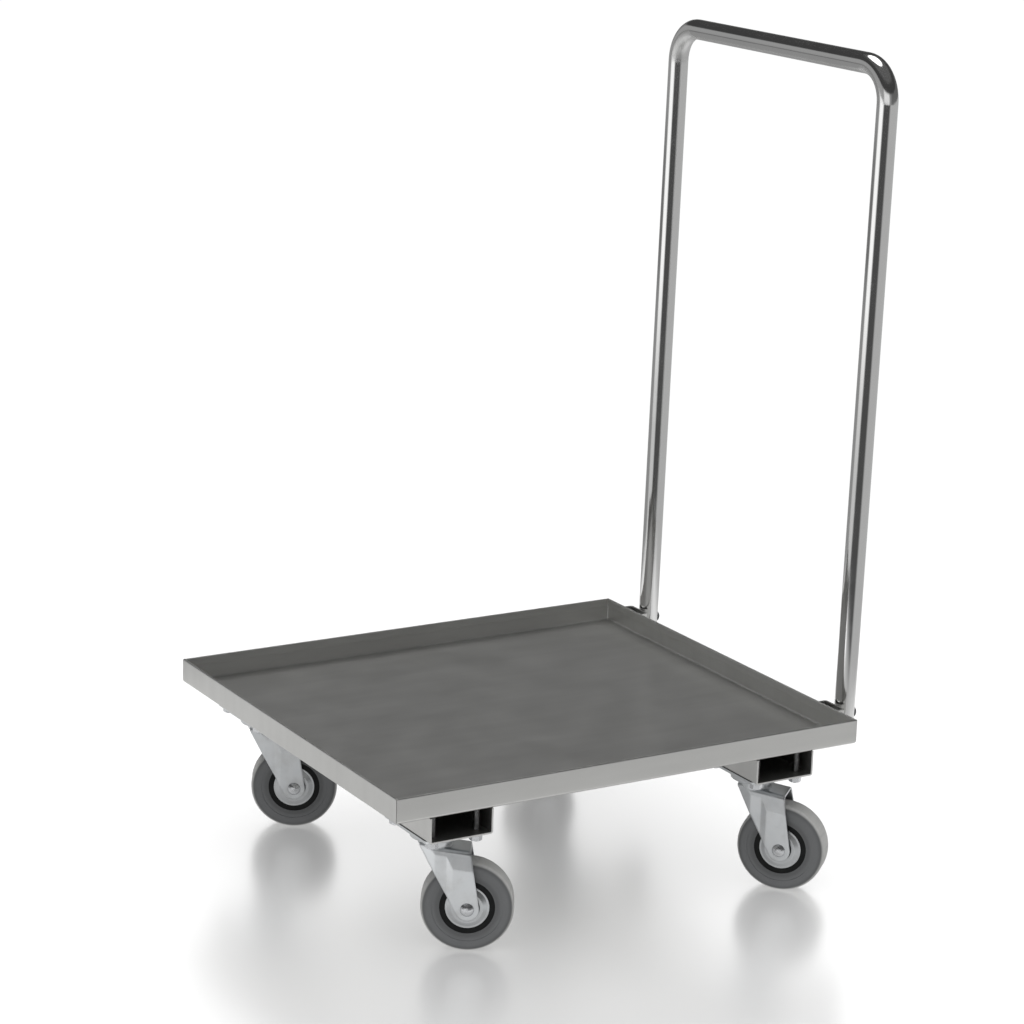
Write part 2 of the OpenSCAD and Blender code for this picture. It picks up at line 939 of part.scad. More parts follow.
wheel_core(2);  // wheel_core_rl
bushes(2);  // bushes_rl
hub_discs(2);  // hub_discs_rl
caster_plate(3);  // plate_rr
kingpin(3);  // kingpin_rr
balls(3);  // balls_rr
fork(3);  // fork_rr
axle_bolt(3);  // axle_bolt_rr
axle_nut(3);  // axle_nut_rr
axle_sleeve(3);  // axle_sleeve_rr
tyre(3);  // tyre_rr
wheel_core(3);  // wheel_core_rr
bushes(3);  // bushes_rr
hub_discs(3);  // hub_discs_rr
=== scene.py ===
# Low platform trolley with a round tube handle: finishes, welds, threads and the studio around it.
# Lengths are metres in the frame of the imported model: +Z up, +Y towards the handle, and +X towards the left
# of the person who pushes it.
import json
import math

import bpy
from mathutils import Matrix, Vector


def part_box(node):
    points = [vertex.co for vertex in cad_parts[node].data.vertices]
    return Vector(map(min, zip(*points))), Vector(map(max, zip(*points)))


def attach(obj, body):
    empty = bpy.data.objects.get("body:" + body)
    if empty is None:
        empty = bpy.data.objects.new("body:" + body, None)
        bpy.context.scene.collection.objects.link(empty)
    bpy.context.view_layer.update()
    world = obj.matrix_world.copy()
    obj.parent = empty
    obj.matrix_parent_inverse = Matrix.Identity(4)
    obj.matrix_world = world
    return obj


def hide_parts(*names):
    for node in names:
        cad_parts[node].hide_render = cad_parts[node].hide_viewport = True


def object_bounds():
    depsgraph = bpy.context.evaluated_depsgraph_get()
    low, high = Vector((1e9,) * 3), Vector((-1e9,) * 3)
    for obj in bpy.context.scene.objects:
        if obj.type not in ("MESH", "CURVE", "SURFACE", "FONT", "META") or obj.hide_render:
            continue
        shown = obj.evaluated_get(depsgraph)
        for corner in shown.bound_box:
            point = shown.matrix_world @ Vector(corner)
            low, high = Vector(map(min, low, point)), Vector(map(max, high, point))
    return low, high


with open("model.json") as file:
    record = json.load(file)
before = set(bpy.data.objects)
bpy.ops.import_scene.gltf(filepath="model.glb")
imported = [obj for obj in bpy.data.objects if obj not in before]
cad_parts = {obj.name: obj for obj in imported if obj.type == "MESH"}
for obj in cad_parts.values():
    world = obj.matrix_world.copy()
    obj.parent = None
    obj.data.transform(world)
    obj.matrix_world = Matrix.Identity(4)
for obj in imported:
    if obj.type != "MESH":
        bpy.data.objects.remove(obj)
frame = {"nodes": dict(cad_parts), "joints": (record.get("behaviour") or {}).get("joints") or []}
NODES = frame["nodes"]
JOINTS = {joint["name"]: joint for joint in frame["joints"]}
CASTERS = ("fl", "fr", "rl", "rr")
CAD_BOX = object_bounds()
GROUND_Z = CAD_BOX[0][2]

# Camera, solved from the photograph's corners, wheels and handle; the image is 1024 by 1024
CAMERA_AZIMUTH = math.radians(59.189)
CAMERA_ELEVATION = math.radians(14.995)
CAMERA_ROLL = math.radians(1.672)
CAMERA_PLACE = Vector((3.10071, -1.85835, 1.21756))
SENSOR_WIDTH = 36.0
LENS = 110.498
VIEW_REACH = 200.0


def camera_axes():
    """Right, up and backward axes of the camera, with its small roll."""
    a, e = CAMERA_AZIMUTH, CAMERA_ELEVATION
    back = Vector((math.sin(a) * math.cos(e), -math.cos(a) * math.cos(e), math.sin(e)))
    level = Vector((math.cos(a), math.sin(a), 0.0))
    upright = back.cross(level)
    right = math.cos(CAMERA_ROLL) * level + math.sin(CAMERA_ROLL) * upright
    up = math.cos(CAMERA_ROLL) * upright - math.sin(CAMERA_ROLL) * level
    return right, up, back


def add_camera():
    right, up, back = camera_axes()
    bpy.ops.object.camera_add()
    camera = bpy.context.object
    camera.name = "photo_camera"
    turn = Matrix((right, up, back)).transposed().to_4x4()
    camera.matrix_world = Matrix.Translation(CAMERA_PLACE) @ turn
    camera.data.sensor_width = SENSOR_WIDTH
    camera.data.lens = LENS
    camera.data.clip_end = VIEW_REACH
    bpy.context.scene.camera = camera


add_camera()


# Node helpers

def put(tree, kind, inputs=None, **settings):
    """Adds a node. For each named or numbered input, inputs holds a value or the socket that feeds it."""
    node = tree.nodes.new(kind)
    for name, value in settings.items():
        setattr(node, name, value)
    for name, value in (inputs or {}).items():
        if isinstance(value, bpy.types.NodeSocket):
            tree.links.new(value, node.inputs[name])
        else:
            node.inputs[name].default_value = value
    return node


def maths(tree, operation, *values):
    return put(tree, "ShaderNodeMath", dict(enumerate(values)), operation=operation).outputs[0]


def vector_maths(tree, operation, *values):
    node = put(tree, "ShaderNodeVectorMath", dict(enumerate(values)), operation=operation)
    return node.outputs["Value"] if operation in ("DOT_PRODUCT", "LENGTH") else node.outputs["Vector"]


def mapped(tree, value, start, end, low, high):
    """Goes from low to high, smoothly, as value goes from start to end."""
    limits = {"From Min": start, "From Max": end, "To Min": low, "To Max": high}
    node = put(tree, "ShaderNodeMapRange", {"Value": value, **limits}, interpolation_type="SMOOTHSTEP")
    return node.outputs["Result"]


def step_up(tree, value, low, high):
    """0 below low, 1 above high, smooth between them."""
    return mapped(tree, value, low, high, 0.0, 1.0)


def blend(tree, share, first, second):
    """Goes straight from first to second as share goes from 0 to 1."""
    node = put(tree, "ShaderNodeMapRange", {"Value": share, "To Min": first, "To Max": second})
    return node.outputs["Result"]


# Sockets of the Mix node that carry colours
MIX_FIRST, MIX_SECOND, MIX_RESULT = 6, 7, 2


def mix_colour(tree, share, first, second):
    node = put(tree, "ShaderNodeMix", {"Factor": share}, data_type="RGBA")
    for socket, value in ((node.inputs[MIX_FIRST], first), (node.inputs[MIX_SECOND], second)):
        if isinstance(value, bpy.types.NodeSocket):
            tree.links.new(value, socket)
        else:
            socket.default_value = (*value, 1.0)
    return node.outputs[MIX_RESULT]


def noise(tree, vector, scale, detail=3.0, roughness=0.5):
    inputs = {"Vector": vector, "Scale": scale, "Detail": detail, "Roughness": roughness}
    return put(tree, "ShaderNodeTexNoise", inputs).outputs["Fac"]


def new_group(name, inputs, outputs):
    """An empty shader node group; inputs and outputs are (name, kind, default) rows."""
    group = bpy.data.node_groups.new(name, "ShaderNodeTree")
    for side, rows in (("INPUT", inputs), ("OUTPUT", outputs)):
        for socket_name, kind, default in rows:
            socket = group.interface.new_socket(socket_name, in_out=side, socket_type="NodeSocket" + kind)
            if default is not None:
                socket.default_value = default
    return group, group.nodes.new("NodeGroupInput").outputs, group.nodes.new("NodeGroupOutput")


def send(group, results, values):
    for name, value in values.items():
        group.links.new(value, results.inputs[name])


# Shared effects

GRAIN_ACROSS, GRAIN_ALONG = 900.0, 12.0
BROAD_GRAIN = (0.06, 0.5, 1.0)
SOIL_LOW, SOIL_HIGH = -0.18, 0.0


def sheet_grain_group():
    """Grain of rolled sheet along Y, carried round the bends: a fine height and a slow change of tone."""
    group, given, results = new_group(
        "sheet_grain",
        [("Place", "Vector", None), ("Facing", "Vector", None)],
        [("Height", "Float", None), ("Tone", "Float", None)],
    )
    place = put(group, "ShaderNodeSeparateXYZ", {0: given["Place"]}).outputs
    facing = put(group, "ShaderNodeSeparateXYZ", {0: given["Facing"]}).outputs
    end_face = step_up(group, maths(group, "ABSOLUTE", facing["Y"]), 0.5, 0.8)
    side_face = maths(group, "SUBTRACT", 1.0, end_face)
    across = maths(group, "ADD", place["X"], maths(group, "MULTIPLY", place["Z"], side_face))
    along = maths(group, "ADD", place["Y"], maths(group, "MULTIPLY", place["Z"], end_face))
    across_lines = maths(group, "MULTIPLY", across, GRAIN_ACROSS)
    along_run = maths(group, "MULTIPLY", along, GRAIN_ALONG)
    unfolded = put(group, "ShaderNodeCombineXYZ", {"X": across_lines, "Y": along_run}).outputs[0]
    fine = noise(group, unfolded, scale=1.0, detail=4.0, roughness=0.6)
    broad = noise(group, vector_maths(group, "MULTIPLY", unfolded, BROAD_GRAIN), scale=1.0, detail=2.0)
    send(group, results, {"Height": fine, "Tone": broad})
    return group


def edge_wear_group():
    """Rounds the normal over sharp edges and marks where edges are rubbed bright."""
    group, given, results = new_group(
        "edge_wear",
        [("Place", "Vector", None), ("Radius", "Float", 0.0006), ("Patches", "Float", 90.0)],
        [("Rubbed", "Float", None), ("Normal", "Vector", None)],
    )
    rounded = put(group, "ShaderNodeBevel", {"Radius": given["Radius"]}, samples=4).outputs["Normal"]
    flat = put(group, "ShaderNodeNewGeometry").outputs["Normal"]
    turned = maths(group, "SUBTRACT", 1.0, vector_maths(group, "DOT_PRODUCT", rounded, flat))
    edge = step_up(group, turned, 0.01, 0.16)
    patches = noise(group, given["Place"], scale=given["Patches"], detail=4.0)
    patchy = step_up(group, patches, 0.35, 0.65)
    send(group, results, {"Rubbed": maths(group, "MULTIPLY", edge, patchy), "Normal": rounded})
    return group


def soil_group():
    """Thin dirt: patches over the surface, thicker towards the floor."""
    group, given, results = new_group(
        "soil",
        [("Place", "Vector", None), ("Patches", "Float", 30.0)],
        [("Dirt", "Float", None)],
    )
    height = put(group, "ShaderNodeSeparateXYZ", {0: given["Place"]}).outputs["Z"]
    limits = {"From Min": SOIL_LOW, "From Max": SOIL_HIGH, "To Min": 1.0, "To Max": 0.25}
    rise = put(group, "ShaderNodeMapRange", {"Value": height, **limits}).outputs["Result"]
    patches = noise(group, given["Place"], scale=given["Patches"], detail=5.0, roughness=0.6)
    dirt = maths(group, "MULTIPLY", step_up(group, patches, 0.42, 0.75), rise)
    send(group, results, {"Dirt": dirt})
    return group


def lathe_group():
    """Rings about the local Z axis of a moulded piece: ring height, radius and place along the axis."""
    group, given, results = new_group(
        "lathe_rings",
        [("Place", "Vector", None), ("Rings", "Float", 900.0)],
        [("Height", "Float", None), ("Radius", "Float", None), ("Along", "Float", None)],
    )
    place = put(group, "ShaderNodeSeparateXYZ", {0: given["Place"]}).outputs
    flat = put(group, "ShaderNodeCombineXYZ", {"X": place["X"], "Y": place["Y"]}).outputs[0]
    radius = vector_maths(group, "LENGTH", flat)
    ring_count = maths(group, "MULTIPLY", radius, given["Rings"])
    ring_place = put(group, "ShaderNodeCombineXYZ", {"X": ring_count}).outputs[0]
    height = noise(group, ring_place, scale=1.0, detail=3.0, roughness=0.6)
    send(group, results, {"Height": height, "Radius": radius, "Along": place["Z"]})
    return group


GRAIN = sheet_grain_group()
WEAR = edge_wear_group()
SOIL = soil_group()
LATHE = lathe_group()


def use(tree, group, **inputs):
    node = put(tree, "ShaderNodeGroup", node_tree=group)
    for name, value in inputs.items():
        if isinstance(value, bpy.types.NodeSocket):
            tree.links.new(value, node.inputs[name])
        else:
            node.inputs[name].default_value = value
    return node.outputs


def new_material(name, **fixed):
    """A material with one Principled shader; fixed holds the values that are the same all over."""
    material = bpy.data.materials.new(name)
    material.use_nodes = True
    tree = material.node_tree
    shader = tree.nodes["Principled BSDF"]
    for socket, value in fixed.items():
        shader.inputs[socket.replace("_", " ")].default_value = value
    coordinates = put(tree, "ShaderNodeTexCoord").outputs
    return material, tree, shader, coordinates


def bump(tree, shader, height, strength, distance, normal=None):
    inputs = {"Height": height, "Strength": strength, "Distance": distance}
    if normal is not None:
        inputs["Normal"] = normal
    tree.links.new(put(tree, "ShaderNodeBump", inputs).outputs["Normal"], shader.inputs["Normal"])


def between(tree, shader, socket, share, low, high):
    """Feeds a shader input with a value that goes from low to high as share goes from 0 to 1."""
    tree.links.new(blend(tree, share, low, high), shader.inputs[socket])


# Finishes; every colour is linear

SHEET_TINT = (0.60, 0.60, 0.585)
SHEET_DIRT = (0.34, 0.335, 0.32)
SHEET_DARKER, SHEET_BRIGHTER = 0.86, 1.25
SEAM_TONE = (0.42, 0.42, 0.41)
TUBE_SMEARED, TUBE_CLEAN = (0.66, 0.66, 0.655), (0.72, 0.72, 0.715)
ZINC_DARK, ZINC_LIGHT = (0.52, 0.54, 0.555), (0.60, 0.61, 0.615)
ZINC_DIRT = (0.30, 0.295, 0.28)
ZINC_RUBBED = (0.80, 0.81, 0.82)
FASTENER_TINT = (0.62, 0.63, 0.645)
FASTENER_DARKER = 0.88
FASTENER_DIRT = (0.22, 0.215, 0.20)
FASTENER_RUBBED = (0.85, 0.85, 0.85)
# Painted shade: the studs inside the channels get a much darker copy of the fastener colour
STUD_PAINTED_SHADE_TINT = (0.24, 0.24, 0.245)
BALL_STEEL, GREASE = (0.62, 0.62, 0.61), (0.36, 0.33, 0.26)
RUBBER_DARK, RUBBER_LIGHT = (0.130, 0.134, 0.137), (0.160, 0.164, 0.168)
RUBBER_PAINTED_SHADE = (0.105, 0.108, 0.110)
TREAD_DUST_AND_SHEEN = (0.46, 0.46, 0.45)
BLACK_DARK, BLACK_LIGHT = (0.005, 0.0055, 0.0055), (0.010, 0.011, 0.011)
BLACK_DUST = (0.06, 0.058, 0.054)
NYLON_DARK, NYLON_LIGHT = (0.055, 0.055, 0.052), (0.09, 0.09, 0.085)
HEAT_STRAW, HEAT_BLUE = (0.52, 0.49, 0.43), (0.38, 0.39, 0.42)


def soiled(tree, colour, soil, share, dirt):
    """The colour with dirt over it, up to the given share where the soil is thickest."""
    return mix_colour(tree, maths(tree, "MULTIPLY", soil["Dirt"], share), colour, dirt)


def stainless_sheet(name, rough=(0.30, 0.40), seam=False):
    """Satin stainless sheet with its rolling grain, faint rub marks and brighter edges."""
    material, tree, shader, at = new_material(name, Metallic=1.0)
    place = at["Object"]
    grain = use(tree, GRAIN, Place=place, Facing=at["Normal"])
    wear = use(tree, WEAR, Place=place, Radius=0.0007)
    soil = use(tree, SOIL, Place=place, Patches=9.0)
    darker = tuple(SHEET_DARKER * c for c in SHEET_TINT)
    brighter = tuple(SHEET_BRIGHTER * c for c in SHEET_TINT)
    colour = mix_colour(tree, grain["Tone"], darker, SHEET_TINT)
    colour = soiled(tree, colour, soil, 0.35, SHEET_DIRT)
    colour = mix_colour(tree, wear["Rubbed"], colour, brighter)
    if seam:
        colour = mix_colour(tree, corner_seam(tree, place), colour, SEAM_TONE)
    tree.links.new(colour, shader.inputs["Base Color"])
    cloudy = noise(tree, place, scale=14.0, detail=5.0, roughness=0.6)
    between(tree, shader, "Roughness", cloudy, *rough)
    bump(tree, shader, grain["Height"], strength=0.10, distance=0.0004, normal=wear["Normal"])
    return material


SEAM_WIDTH = 0.0005


def corner_seam(tree, place):
    """Mask of the four upright corners of the rim, where the sheet's edges meet."""
    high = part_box("tray_pan")[1]
    parts = put(tree, "ShaderNodeSeparateXYZ", {0: place}).outputs
    near = []
    for axis, reach in (("X", high.x), ("Y", high.y)):
        off = maths(tree, "ABSOLUTE", parts[axis])
        near.append(maths(tree, "GREATER_THAN", off, reach - SEAM_WIDTH))
    return maths(tree, "MULTIPLY", *near)


TUBE_R = 0.0125
BEND_R = 0.042
BEND_ROUGHER = 0.35
LINES_ALONG = (900.0, 900.0, 7.0)


def inside_of_bends(tree, place):
    """Mask of the inner side of the handle's two upper bends, which bending leaves duller."""
    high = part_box("handle_tube")[1]
    parts = put(tree, "ShaderNodeSeparateXYZ", {0: place}).outputs
    inset = TUBE_R + BEND_R
    sideways = maths(tree, "SUBTRACT", maths(tree, "ABSOLUTE", parts["X"]), high.x - inset)
    upwards = maths(tree, "SUBTRACT", parts["Z"], high.z - inset)
    off_centre = put(tree, "ShaderNodeCombineXYZ", {"X": sideways, "Y": upwards}).outputs[0]
    reach = vector_maths(tree, "LENGTH", off_centre)
    outer_side = step_up(tree, reach, BEND_R - TUBE_R / 2, BEND_R + TUBE_R / 4)
    mask = maths(tree, "SUBTRACT", 1.0, outer_side)
    for offset in (sideways, upwards):
        mask = maths(tree, "MULTIPLY", mask, step_up(tree, offset, -TUBE_R / 2, TUBE_R / 2))
    return mask


def polished_tube(name):
    """Polished stainless tube: fine lines along it, thin smears where hands go."""
    material, tree, shader, at = new_material(name, Metallic=1.0)
    place = at["Object"]
    stretched = vector_maths(tree, "MULTIPLY", place, LINES_ALONG)
    lines = noise(tree, stretched, scale=1.0, detail=4.0, roughness=0.65)
    smears = noise(tree, place, scale=22.0, detail=6.0, roughness=0.65)
    wear = use(tree, WEAR, Place=place, Radius=0.0004)
    colour = mix_colour(tree, smears, TUBE_SMEARED, TUBE_CLEAN)
    tree.links.new(colour, shader.inputs["Base Color"])
    rough = blend(tree, step_up(tree, smears, 0.35, 0.75), 0.07, 0.15)
    duller = maths(tree, "MULTIPLY", inside_of_bends(tree, place), BEND_ROUGHER)
    tree.links.new(maths(tree, "ADD", rough, duller), shader.inputs["Roughness"])
    bump(tree, shader, lines, strength=0.035, distance=0.0003, normal=wear["Normal"])
    return material


def zinc_steel(name, bend=0.0008, shade=1.0, dented=0.06):
    """Bright zinc plating on pressed steel: faintly clouded, rubbed at the edges, with rounded bends. A shade
    below 1 darkens the whole colour, as painted shade.
    """
    material, tree, shader, at = new_material(name, Metallic=1.0)
    place = at["Object"]
    wear = use(tree, WEAR, Place=place, Radius=0.0008, Patches=140.0)
    soil = use(tree, SOIL, Place=place, Patches=45.0)
    clouds = noise(tree, place, scale=60.0, detail=4.0, roughness=0.55)
    dark, light = [tuple(shade * c for c in tone) for tone in (ZINC_DARK, ZINC_LIGHT)]
    colour = mix_colour(tree, clouds, dark, light)
    colour = soiled(tree, colour, soil, 0.45, ZINC_DIRT)
    colour = mix_colour(tree, wear["Rubbed"], colour, ZINC_RUBBED)
    tree.links.new(colour, shader.inputs["Base Color"])
    between(tree, shader, "Roughness", clouds, 0.24, 0.40)
    rounded = put(tree, "ShaderNodeBevel", {"Radius": bend}, samples=8).outputs["Normal"]
    waves = maths(tree, "MULTIPLY", noise(tree, place, scale=70.0, detail=2.0), 3.0)
    dents = maths(tree, "ADD", noise(tree, place, scale=420.0, detail=4.0), waves)
    bump(tree, shader, dents, strength=dented, distance=0.0006, normal=rounded)
    return material


def fastener_steel(name, tint=FASTENER_TINT, rough=(0.20, 0.34)):
    """Zinc-plated screws, nuts and pins, with patches of soil, thicker towards the floor."""
    material, tree, shader, at = new_material(name, Metallic=1.0)
    place = at["Object"]
    wear = use(tree, WEAR, Place=place, Radius=0.0003, Patches=300.0)
    soil = use(tree, SOIL, Place=place, Patches=120.0)
    mottle = noise(tree, place, scale=260.0, detail=4.0)
    colour = mix_colour(tree, mottle, tuple(FASTENER_DARKER * c for c in tint), tint)
    colour = soiled(tree, colour, soil, 0.4, FASTENER_DIRT)
    colour = mix_colour(tree, wear["Rubbed"], colour, FASTENER_RUBBED)
    tree.links.new(colour, shader.inputs["Base Color"])
    between(tree, shader, "Roughness", mottle, *rough)
    bump(tree, shader, mottle, strength=0.05, distance=0.0002, normal=wear["Normal"])
    return material


def bearing_steel(name):
    """Hardened balls under a film of grease."""
    material, tree, shader, at = new_material(name, Metallic=1.0, Coat_Weight=0.5, Coat_Roughness=0.2)
    film = noise(tree, at["Object"], scale=300.0, detail=4.0)
    colour = mix_colour(tree, step_up(tree, film, 0.4, 0.6), BALL_STEEL, GREASE)
    tree.links.new(colour, shader.inputs["Base Color"])
    between(tree, shader, "Roughness", film, 0.06, 0.22)
    bump(tree, shader, film, strength=0.05, distance=0.0002)
    return material


def wheel_space(tree, place, caster):
    """Coordinates with the axle of one caster as the local Z axis and the wheel's centre as the origin."""
    roll = JOINTS["roll_" + caster]
    yaw = math.atan2(roll["axis"][1], roll["axis"][0])
    inputs = {"Vector": place, "Location": roll["pos_m"], "Rotation": (0.0, math.pi / 2, yaw)}
    return put(tree, "ShaderNodeMapping", inputs, vector_type="TEXTURE").outputs[0]


def core_r(caster):
    """Radius of the wheel centre inside the tyre."""
    low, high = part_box("wheel_core_" + caster)
    return (high.z - low.z) / 2


TREAD_START, TREAD_FULL = 0.0035, 0.0008
PARTING_HALF = 0.0003
SIDEWALL_SHADE_START, SIDEWALL_SHADE_FULL = 0.003, 0.008
SCUFFS_ACROSS = (220.0, 220.0, 40.0)
TREAD_ROUGH, PARTING_HIGH = 2.0, 1.5


def tyre_rubber(name, caster):
    """Grey solid rubber: moulding rings on the walls, painted shade darkening the walls towards their edges,
    a scuffed tread lightened by dust and a painted sheen, and a parting line.
    """
    material, tree, shader, at = new_material(name, Metallic=0.0, Specular_IOR_Level=0.4)
    place = wheel_space(tree, at["Object"], caster)
    rings = use(tree, LATHE, Place=place, Rings=1500.0)
    low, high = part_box("tyre_" + caster)
    tread_r = (high.z - low.z) / 2
    tread = step_up(tree, rings["Radius"], tread_r - TREAD_START, tread_r - TREAD_FULL)
    parting = maths(tree, "LESS_THAN", maths(tree, "ABSOLUTE", rings["Along"]), PARTING_HALF)
    stretched = vector_maths(tree, "MULTIPLY", place, SCUFFS_ACROSS)
    scuffs = noise(tree, stretched, scale=1.0, detail=5.0, roughness=0.65)
    cloudy = noise(tree, place, scale=45.0, detail=4.0, roughness=0.6)
    colour = mix_colour(tree, cloudy, RUBBER_DARK, RUBBER_LIGHT)
    # Painted shade: the walls darken towards the core and the tread and stay lighter round the middle, as a
    # rounded wall would be lit
    middle = (core_r(caster) + tread_r) / 2
    off_middle = maths(tree, "ABSOLUTE", maths(tree, "SUBTRACT", rings["Radius"], middle))
    colour = mix_colour(tree, step_up(tree, off_middle, SIDEWALL_SHADE_START, SIDEWALL_SHADE_FULL), colour, RUBBER_PAINTED_SHADE)
    # The tread is lightened with dust and with a painted sheen of grazing light
    dust_and_sheen = maths(tree, "MULTIPLY", tread, step_up(tree, scuffs, -0.25, 0.55))
    colour = mix_colour(tree, dust_and_sheen, colour, TREAD_DUST_AND_SHEEN)
    tree.links.new(colour, shader.inputs["Base Color"])
    between(tree, shader, "Roughness", scuffs, 0.42, 0.62)
    worn = maths(tree, "MULTIPLY", scuffs, maths(tree, "MULTIPLY", tread, TREAD_ROUGH))
    height = maths(tree, "ADD", rings["Height"], worn)
    height = maths(tree, "ADD", height, maths(tree, "MULTIPLY", parting, PARTING_HIGH))
    bump(tree, shader, height, strength=0.18, distance=0.0003)
    return material


def moulded_black(name):
    """Black moulded plastic with a fine texture and dust in it."""
    material, tree, shader, at = new_material(name, Metallic=0.0, Specular_IOR_Level=0.12)
    place = at["Object"]
    wear = use(tree, WEAR, Place=place, Radius=0.0004, Patches=200.0)
    soil = use(tree, SOIL, Place=place, Patches=80.0)
    colour = mix_colour(tree, noise(tree, place, scale=500.0), BLACK_DARK, BLACK_LIGHT)
    colour = soiled(tree, colour, soil, 0.12, BLACK_DUST)
    tree.links.new(colour, shader.inputs["Base Color"])
    between(tree, shader, "Roughness", noise(tree, place, scale=90.0), 0.40, 0.55)
    fine = noise(tree, place, scale=1600.0, detail=2.0)
    bump(tree, shader, fine, strength=0.12, distance=0.0002, normal=wear["Normal"])
    return material


def bush_nylon(name):
    """Natural nylon, greased."""
    material, tree, shader, at = new_material(name, Metallic=0.0, Subsurface_Weight=0.05)
    place = at["Object"]
    colour = mix_colour(tree, noise(tree, place, scale=200.0), NYLON_DARK, NYLON_LIGHT)
    tree.links.new(colour, shader.inputs["Base Color"])
    between(tree, shader, "Roughness", noise(tree, place, scale=150.0), 0.3, 0.45)
    bump(tree, shader, noise(tree, place, scale=900.0, detail=2.0), strength=0.08, distance=0.0002)
    return material


def weld_metal(name):
    """TIG weld: fine ripples, straw and blue heat colours beside it."""
    material, tree, shader, at = new_material(name, Metallic=1.0)
    place = at["Object"]
    heat = noise(tree, place, scale=180.0, detail=4.0, roughness=0.6)
    colour = mix_colour(tree, step_up(tree, heat, 0.3, 0.7), HEAT_STRAW, HEAT_BLUE)
    tree.links.new(colour, shader.inputs["Base Color"])
    between(tree, shader, "Roughness", heat, 0.25, 0.45)
    bump(tree, shader, noise(tree, place, scale=900.0, detail=3.0), strength=0.2, distance=0.0002)
    return material


def dress(obj, material):
    obj.data.materials.clear()
    obj.data.materials.append(material)


SHEET = stainless_sheet("stainless_sheet", seam=True)
CHANNEL = stainless_sheet("channel_sheet", rough=(0.28, 0.38))
TUBE = polished_tube("polished_tube")
ZINC = zinc_steel("zinc_plating")
FORK_ZINC = zinc_steel("fork_zinc", bend=0.003, dented=0.13)
# Painted shade: the hub discs get a darker copy of the zinc
SHADED_DISC_ZINC = zinc_steel("disc_zinc_painted_shade", shade=0.84)
FASTENER = fastener_steel("fastener_zinc")
# Painted shade: darker studs stand in for the shade inside the channels
STUD = fastener_steel("stud_steel_painted_shade", tint=STUD_PAINTED_SHADE_TINT, rough=(0.26, 0.38))
BEARING = bearing_steel("bearing_steel")
BLACK = moulded_black("moulded_black")
NYLON = bush_nylon("bush_nylon")
WELD = weld_metal("weld_metal")

dress(NODES["tray_pan"], SHEET)
for part in ("front_channel", "rear_channel", "handle_bracket_left", "handle_bracket_right"):
    dress(NODES[part], CHANNEL)
dress(NODES["handle_tube"], TUBE)
dress(NODES["handle_plugs"], BLACK)
for part in ("handle_bolts", "handle_nuts", "caster_studs", "caster_washers", "caster_nuts"):
    dress(NODES[part], FASTENER)
for caster in CASTERS:
    dress(NODES["plate_" + caster], ZINC)
    dress(NODES["hub_discs_" + caster], SHADED_DISC_ZINC)
    dress(NODES["fork_" + caster], FORK_ZINC)
    for part in ("kingpin", "axle_bolt", "axle_nut", "axle_sleeve"):
        dress(NODES[f"{part}_{caster}"], FASTENER)
    dress(NODES["balls_" + caster], BEARING)
    dress(NODES["tyre_" + caster], tyre_rubber("tyre_rubber_" + caster, caster))
    dress(NODES["wheel_core_" + caster], BLACK)
    dress(NODES["bushes_" + caster], NYLON)


# New pieces: stud threads and weld beads

STUD_R = 0.004
THREAD_PITCH = 0.00125
THREAD_DEPTH = 0.0006
THREAD_STEPS = 20
STUD_TIP = 0.0008
TIP_SHARE = 0.78
FLANGE_R = 0.0052
FLANGE_H = 0.0008
STUD_X, STUD_Y = 0.042, 0.028
THREAD_SMOOTH = math.radians(35)
CLOSE, MERGE_GAP, CUT_GAP = 1e-5, 1e-6, 1e-7
UPRIGHT_FACING = 0.9


def start_fresh():
    bpy.ops.object.select_all(action="DESELECT")


def edit(obj):
    bpy.context.view_layer.objects.active = obj
    obj.select_set(True)
    bpy.ops.object.mode_set(mode="EDIT")
    bpy.ops.mesh.select_mode(type="FACE")
    bpy.ops.mesh.select_all(action="DESELECT")


def leave_edit():
    bpy.ops.object.mode_set(mode="OBJECT")


def pick_faces(obj, wanted):
    """Selects the faces for which wanted(centre, normal) is true, in edit mode."""
    bpy.ops.mesh.select_all(action="DESELECT")
    bpy.ops.object.mode_set(mode="OBJECT")
    for face in obj.data.polygons:
        face.select = bool(wanted(face.center, face.normal))
    bpy.ops.object.mode_set(mode="EDIT")


def settle():
    """Puts the active object's place, turn and size into its mesh."""
    bpy.ops.object.transform_apply(location=True, rotation=True, scale=True)


def use_modifier(obj, kind, **settings):
    bpy.context.view_layer.objects.active = obj
    bpy.ops.object.modifier_add(type=kind)
    modifier = obj.modifiers[-1]
    for name, value in settings.items():
        setattr(modifier, name, value)
    bpy.ops.object.modifier_apply(modifier=modifier.name)


def copies_joined(original, name, places):
    """Copies a piece with its own mesh to each place, and joins the copies into one piece."""
    copies = []
    for place in places:
        start_fresh()
        original.select_set(True)
        bpy.context.view_layer.objects.active = original
        bpy.ops.object.duplicate()
        copy = bpy.context.object
        copy.location = place
        copies.append(copy)
    start_fresh()
    original.select_set(True)
    bpy.ops.object.delete()
    for copy in copies:
        copy.select_set(True)
    bpy.context.view_layer.objects.active = copies[0]
    bpy.ops.object.join()
    piece = bpy.context.object
    settle()
    piece.name = name
    piece.data.name = name
    return piece


